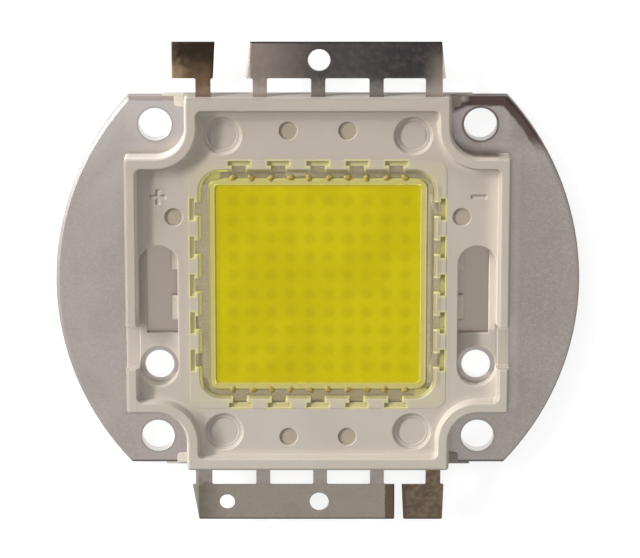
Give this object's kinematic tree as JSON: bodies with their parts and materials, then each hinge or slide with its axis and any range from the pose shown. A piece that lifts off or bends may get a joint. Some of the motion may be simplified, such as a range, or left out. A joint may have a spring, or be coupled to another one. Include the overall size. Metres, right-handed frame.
{
  "type": "chip-on-board led module",
  "caption": "Square chip-on-board LED light source: a yellow phosphor window in a moulded frame on a round-winged metal plate, with solder strips at both ends.",
  "frame": {"origin": "middle of the base plate's underside, on the axis of the light window", "axes": "+Z out of the light window, away from the plate; +X towards the right wing; +Y towards the end whose left corner holds the short tab"},
  "size_m": [0.056, 0.0528, 0.004],
  "materials": {
    "base_plate": "satin nickel plating, warm grey",
    "moulded_frame": "matt warm grey moulding",
    "lead_frame": "bright plated sheet",
    "phosphor_gel": "matt yellow silicone with phosphor",
    "silicone_bead": "pale cream silicone",
    "clear_seal": "clear silicone, slightly yellow",
    "led_die": "polished sapphire chip",
    "bond_wire": "gold wire"
  },
  "bodies": {
    "root": {"base_plate": "base_plate", "moulded_frame": "moulded_frame", "lead_frame_upper": "lead_frame", "lead_frame_lower": "lead_frame", "phosphor_gel": "phosphor_gel", "silicone_bead": "silicone_bead", "clear_seal": "clear_seal", "led_dies_01": "led_die", "led_dies_02": "led_die", "led_dies_03": "led_die", "led_dies_04": "led_die", "led_dies_05": "led_die", "led_dies_06": "led_die", "led_dies_07": "led_die", "led_dies_08": "led_die", "led_dies_09": "led_die", "led_dies_10": "led_die", "bond_wires_01": "bond_wire", "bond_wires_02": "bond_wire", "bond_wires_03": "bond_wire", "bond_wires_04": "bond_wire", "bond_wires_05": "bond_wire", "bond_wires_06": "bond_wire", "bond_wires_07": "bond_wire", "bond_wires_08": "bond_wire", "bond_wires_09": "bond_wire", "bond_wires_10": "bond_wire"}
  },
  "joints": []
}
